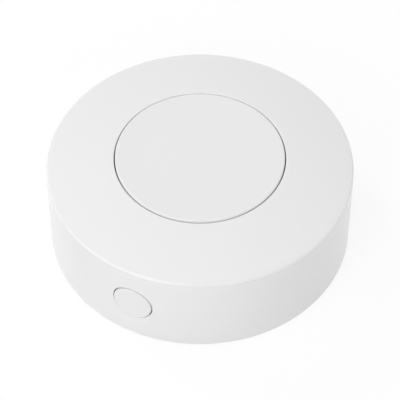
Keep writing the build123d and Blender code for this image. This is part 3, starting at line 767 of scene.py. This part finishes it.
def coil_form(steps=72, sides=16):
    """Round wire swept along the coil, with flat ends."""
    path = []
    for i in range(coil_turns * steps + 1):
        angle = 2 * pi * i / steps
        path.append(Vector((coil_radius * cos(angle), coil_radius * sin(angle), coil_height(i / steps))))
    points, faces = [], []
    for i, place in enumerate(path):
        along_wire = (path[min(i + 1, len(path) - 1)] - path[max(i - 1, 0)]).normalized()
        outward = Vector((place.x, place.y, 0)).normalized()
        upward = along_wire.cross(outward).normalized()
        for j in range(sides):
            angle = 2 * pi * j / sides
            points.append(tuple(place + (outward * cos(angle) + upward * sin(angle)) * wire_radius))
    loops = [list(range(i * sides, (i + 1) * sides)) for i in range(len(path))]
    for first, second in zip(loops, loops[1:]):
        faces += loop_quads(first, second)
    return points, faces + [tuple(loops[0]), tuple(loops[-1][::-1])]


# Bright metal: the lines that drawing or rolling leaves run one way, over broad dull smudges.
# The group gives both, and each metal stretches the lines its own way.
smudge_scale = 350.0
line_strength = 0.3


def metal_group():
    usual = {"Stretch": (400, 400, 400)}
    group, begin, end = new_group("drawn_metal", usual, ("Line", "Smudge"), kind="NodeSocketVector")
    place = add_node(group, "ShaderNodeTexCoord")
    stretched = add_node(group, "ShaderNodeVectorMath", operation="MULTIPLY")
    lines = add_node(group, "ShaderNodeTexNoise", {"Scale": 1.0, "Detail": 4.0, "Roughness": 0.65})
    smudges = add_node(group, "ShaderNodeTexNoise", {"Scale": smudge_scale, "Detail": 2.0})
    group.links.new(place.outputs["Object"], stretched.inputs[0])
    group.links.new(begin.outputs["Stretch"], stretched.inputs[1])
    group.links.new(stretched.outputs["Vector"], lines.inputs["Vector"])
    group.links.new(place.outputs["Object"], smudges.inputs["Vector"])
    group.links.new(lines.outputs["Fac"], end.inputs["Line"])
    group.links.new(smudges.outputs["Fac"], end.inputs["Smudge"])
    return group


drawn_metal = metal_group()


def bare_metal(name, dull, bright, stretch, roughness, depth):
    """Metal between a dull and a bright tone, with lines stretched one way."""
    paint, tree, surface = new_paint(name)
    surface.inputs["Metallic"].default_value = 1.0
    effect = add_node(tree, "ShaderNodeGroup", {"Stretch": stretch}, node_tree=drawn_metal)
    tree.links.new(blended(tree, effect.outputs["Smudge"], dull, bright), surface.inputs["Base Color"])
    set_gloss(tree, surface, effect.outputs["Line"], roughness)
    set_bump(tree, surface, effect.outputs["Line"], line_strength, depth)
    return paint


spring_steel = bare_metal(
    "spring_steel", dull=(0.36, 0.36, 0.38), bright=(0.52, 0.52, 0.54),
    stretch=(900, 900, 7000), roughness=(0.22, 0.42), depth=0.01 * mm,
)
return_spring = mesh_object("return_spring_coil", coil_form())
finish_piece(return_spring, "housing", "spring_steel", spring_steel, "return_spring", evened=False)
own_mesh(return_spring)

# Circuit boards: glass fibre with copper tracks under solder mask, bare pads at the ends of the tracks,
# and the fibre itself at the cut edges. The round board rests on the chassis, and the small ones on it.
track_width = 0.4
pad_width = 0.09
empty_share = 0.35
level_limit = 0.5
weave_scale = 2500.0
weave_height = 0.15
track_strength = 0.4
track_height = 0.03 * mm
track_roughness = (0.32, 0.24)
pad_gold = (0.80, 0.58, 0.22)
fibre_tan = (0.52, 0.46, 0.26)


def circuit_group():
    """Tracks as rings in the cells of a pattern, some of which stay empty, with a pad in each middle."""
    outputs = ("Track", "Pad", "Cut Edge", "Weave")
    group, begin, end = new_group("circuit", {"Cells": 260.0, "Lines": 5.0}, outputs)
    place = add_node(group, "ShaderNodeTexCoord")
    cells = add_node(group, "ShaderNodeTexVoronoi", {"Randomness": 0.8}, distance="CHEBYCHEV")
    group.links.new(place.outputs["Object"], cells.inputs["Vector"])
    group.links.new(begin.outputs["Cells"], cells.inputs["Scale"])
    turns = maths(group, "FRACT", maths(group, "MULTIPLY", cells.outputs["Distance"], begin.outputs["Lines"]))
    chosen = add_node(group, "ShaderNodeSeparateColor")
    group.links.new(cells.outputs["Color"], chosen.inputs["Color"])
    routed = maths(group, "GREATER_THAN", chosen.outputs["Red"], empty_share)
    track = maths(group, "MULTIPLY", maths(group, "LESS_THAN", turns, track_width), routed)
    pad = maths(group, "MULTIPLY", maths(group, "LESS_THAN", cells.outputs["Distance"], pad_width), routed)
    facing = add_node(group, "ShaderNodeNewGeometry")
    facing_parts = add_node(group, "ShaderNodeSeparateXYZ")
    group.links.new(facing.outputs["Normal"], facing_parts.inputs["Vector"])
    cut = maths(group, "LESS_THAN", maths(group, "ABSOLUTE", facing_parts.outputs["Z"]), level_limit)
    weave = add_node(group, "ShaderNodeTexChecker", {"Scale": weave_scale})
    group.links.new(place.outputs["Object"], weave.inputs["Vector"])
    for name, value in zip(outputs, (track, pad, cut, weave.outputs["Fac"])):
        group.links.new(value, end.inputs[name])
    return group


circuit = circuit_group()


def board_paint(name, mask, track, cells, upright=False):
    """Solder mask over tracks, with gold pads and, on a flat board, fibre at its cut edges."""
    paint, tree, surface = new_paint(name)
    effect = add_node(tree, "ShaderNodeGroup", {"Cells": cells}, node_tree=circuit)
    colour = blended(tree, effect.outputs["Track"], mask, track)
    colour = blended(tree, effect.outputs["Pad"], colour, pad_gold)
    if not upright:
        colour = blended(tree, effect.outputs["Cut Edge"], colour, fibre_tan)
    tree.links.new(colour, surface.inputs["Base Color"])
    tree.links.new(effect.outputs["Pad"], surface.inputs["Metallic"])
    set_gloss(tree, surface, effect.outputs["Track"], track_roughness)
    raised = maths(tree, "MULTIPLY_ADD", effect.outputs["Weave"], weave_height, effect.outputs["Track"])
    set_bump(tree, surface, raised, track_strength, track_height)
    return paint


def paint_nodes(paint, *names):
    """Give CAD pieces, whose shapes are right, their finish."""
    for name in names:
        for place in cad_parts[name].material_slots:
            place.material = paint


green_mask, green_track = (0.012, 0.10, 0.045), (0.03, 0.20, 0.09)
black_mask, black_track = (0.012, 0.012, 0.015), (0.05, 0.05, 0.055)
paint_nodes(board_paint("board_green", green_mask, green_track, cells=260), "main_board")
paint_nodes(board_paint("side_board_green", green_mask, green_track, cells=420, upright=True), "side_board")
paint_nodes(board_paint("board_black", black_mask, black_track, cells=520), "radio_board")

# Radio: a black chip under a drawn tin can on the small board, whose antenna is a folded copper track.
# The crystal beside it has a little can of its own, and the power chip is cast in the same black epoxy.
can_tin = bare_metal(
    "can_tin", dull=(0.50, 0.50, 0.51), bright=(0.62, 0.62, 0.63),
    stretch=(120, 5000, 5000), roughness=(0.28, 0.48), depth=0.008 * mm,
)
paint_nodes(can_tin, "shield_can", "crystal")
chip_epoxy = moulded_plastic(
    "chip_epoxy", dark=(0.010, 0.010, 0.011), light=(0.022, 0.022, 0.024),
    grain=9000, roughness=(0.45, 0.62), depth=0.01 * mm,
)
paint_nodes(chip_epoxy, "radio_chip", "power_chip")
track_copper = bare_metal(
    "track_copper", dull=(0.55, 0.26, 0.13), bright=(0.80, 0.44, 0.25),
    stretch=(3000, 500, 500), roughness=(0.25, 0.5), depth=0.005 * mm,
)
paint_nodes(track_copper, "antenna")

# Small parts, placed by machine: sintered capacitors and resistors, a ferrite inductor and a light in a
# block of milky resin. Sintered stone has fine pale and dark specks in it.
speck_strength = 0.3
speck_depth = 0.01 * mm
resin_clearness = 0.5


def sintered(name, dark, light, scale, roughness):
    """Sintered stone between a dark and a light tone, with specks of one size."""
    paint, tree, surface = new_paint(name)
    place = add_node(tree, "ShaderNodeTexCoord")
    specks = add_node(tree, "ShaderNodeTexVoronoi", {"Scale": scale})
    tree.links.new(place.outputs["Object"], specks.inputs["Vector"])
    speck = specks.outputs["Distance"]
    tree.links.new(blended(tree, speck, dark, light), surface.inputs["Base Color"])
    set_gloss(tree, surface, speck, roughness)
    set_bump(tree, surface, speck, speck_strength, speck_depth)
    return paint


tan_ceramic = sintered(
    "tan_ceramic", (0.20, 0.12, 0.06), (0.34, 0.22, 0.12), scale=7000, roughness=(0.30, 0.5)
)
paint_nodes(tan_ceramic, "capacitors")
dark_ceramic = sintered(
    "dark_ceramic", (0.015, 0.015, 0.017), (0.05, 0.05, 0.055), scale=7000, roughness=(0.25, 0.45)
)
paint_nodes(dark_ceramic, "resistors")
ferrite = sintered(
    "ferrite", (0.012, 0.012, 0.014), (0.04, 0.04, 0.045), scale=9000, roughness=(0.55, 0.8)
)
paint_nodes(ferrite, "power_inductor")
led_resin = moulded_plastic(
    "led_resin", dark=(0.78, 0.74, 0.55), light=(0.86, 0.83, 0.68),
    grain=3000, roughness=(0.08, 0.2), depth=0.002 * mm,
)
led_resin.node_tree.nodes["Principled BSDF"].inputs["Transmission Weight"].default_value = resin_clearness
paint_nodes(led_resin, "status_led")

# Push switches: a black moulded base with a steel frame riveted over it, a plunger, a thin snap dome of
# spring steel, and tinned legs. One stands on the round board and one on the side board, which gold-plated
# pins carry.
switch_black = moulded_plastic(
    "switch_black", grey(0.012), grey(0.025), grain=6000, roughness=(0.38, 0.55), depth=0.01 * mm
)
frame_tin = bare_metal(
    "frame_tin", dull=(0.46, 0.46, 0.47), bright=(0.60, 0.60, 0.61),
    stretch=(5000, 150, 5000), roughness=(0.25, 0.45), depth=0.008 * mm,
)
for where in ("main", "side"):
    paint_nodes(switch_black, f"{where}_switch_body", f"{where}_switch_plunger")
    paint_nodes(frame_tin, f"{where}_switch_frame", f"{where}_switch_legs")
    paint_nodes(spring_steel, f"{where}_switch_snap_dome")
pin_gold = bare_metal(
    "pin_gold", dull=(0.66, 0.46, 0.16), bright=(0.85, 0.64, 0.30),
    stretch=(4000, 4000, 400), roughness=(0.2, 0.38), depth=0.004 * mm,
)
paint_nodes(pin_gold, "side_board_pins")

# Chassis: a pale grey moulding that holds the two cells and carries the round board. Four zinc-plated
# screws fasten it and the board to the posts of the housing.
chassis_grey = moulded_plastic(
    "chassis_grey", dark=(0.56, 0.56, 0.55), light=(0.62, 0.62, 0.61),
    grain=3500, roughness=(0.48, 0.6), depth=0.03 * mm,
)
paint_nodes(chassis_grey, "chassis")
screw_zinc = bare_metal(
    "screw_zinc", dull=(0.40, 0.42, 0.46), bright=(0.58, 0.59, 0.60),
    stretch=(1500, 1500, 1500), roughness=(0.3, 0.5), depth=0.01 * mm,
)
paint_nodes(screw_zinc, "chassis_screws")

# Cells: two cells of 10.5 by 44.5 mm, each a steel can in a plain shrunk sleeve, with a darker ring at its
# positive end. The sleeve stops short of both ends, where the bare can shows.
sleeve_start = 0.012
ring_start = 0.82
sleeve_end = 0.965
sleeve_dark, sleeve_light = (0.16, 0.18, 0.20), (0.20, 0.22, 0.24)
ring_dark = (0.035, 0.04, 0.05)
can_steel = (0.56, 0.56, 0.57)
sleeve_grain = 2500
sleeve_roughness = (0.28, 0.4)
sleeve_strength = 0.2
sleeve_depth = 0.02 * mm


def cell_jacket(name, tail, tip):
    """Sleeve with its ring and the bare ends, along a cell from its flat end to its positive end."""
    paint, tree, surface = new_paint(name)
    place = add_node(tree, "ShaderNodeTexCoord")
    parts = add_node(tree, "ShaderNodeSeparateXYZ")
    along_cell = add_node(tree, "ShaderNodeMapRange", {"From Min": tail, "From Max": tip})
    tree.links.new(place.outputs["Object"], parts.inputs["Vector"])
    tree.links.new(parts.outputs["X"], along_cell.inputs["Value"])
    share = along_cell.outputs["Result"]
    bare_tip = maths(tree, "GREATER_THAN", share, sleeve_end)
    bare = maths(tree, "MAXIMUM", bare_tip, maths(tree, "LESS_THAN", share, sleeve_start))
    effect = add_node(tree, "ShaderNodeGroup", {"Grain": sleeve_grain}, node_tree=moulded_grain)
    sleeve = blended(tree, effect.outputs["Tone"], sleeve_dark, sleeve_light)
    sleeve = blended(tree, maths(tree, "GREATER_THAN", share, ring_start), sleeve, ring_dark)
    tree.links.new(blended(tree, bare, sleeve, can_steel), surface.inputs["Base Color"])
    tree.links.new(bare, surface.inputs["Metallic"])
    set_gloss(tree, surface, effect.outputs["Height"], sleeve_roughness)
    set_bump(tree, surface, effect.outputs["Height"], sleeve_strength, sleeve_depth)
    return paint


front_low, front_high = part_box("front_cell")
rear_low, rear_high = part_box("rear_cell")
paint_nodes(cell_jacket("front_cell_sleeve", front_low.x, front_high.x), "front_cell")
paint_nodes(cell_jacket("rear_cell_sleeve", rear_high.x, rear_low.x), "rear_cell")

# Battery contacts: nickel-plated strip, cut and bent, in the slots of the chassis, and two cone springs
# of steel wire that press on the flat ends of the cells.
strip_nickel = bare_metal(
    "strip_nickel", dull=(0.50, 0.47, 0.41), bright=(0.66, 0.63, 0.57),
    stretch=(3000, 3000, 200), roughness=(0.22, 0.42), depth=0.006 * mm,
)
paint_nodes(strip_nickel, "positive_contact", "negative_contact", "bridge_contact")
paint_nodes(spring_steel, "negative_spring", "bridge_spring")

# Rear cover: a white moulding that closes the cell room. A coin in its slot turns its lugs onto the
# housing's three tabs, and four soft rubber feet are glued into its recesses.
cover_white = moulded_plastic(
    "cover_white", grey(0.78), grey(0.81), grain=3000, roughness=(0.46, 0.56), depth=0.03 * mm
)
paint_nodes(cover_white, "rear_cover")
foot_rubber = moulded_plastic(
    "foot_rubber", dark=(0.33, 0.33, 0.325), light=(0.38, 0.38, 0.375),
    grain=2500, roughness=(0.7, 0.85), depth=0.05 * mm,
)
paint_nodes(foot_rubber, "rear_cover_feet")
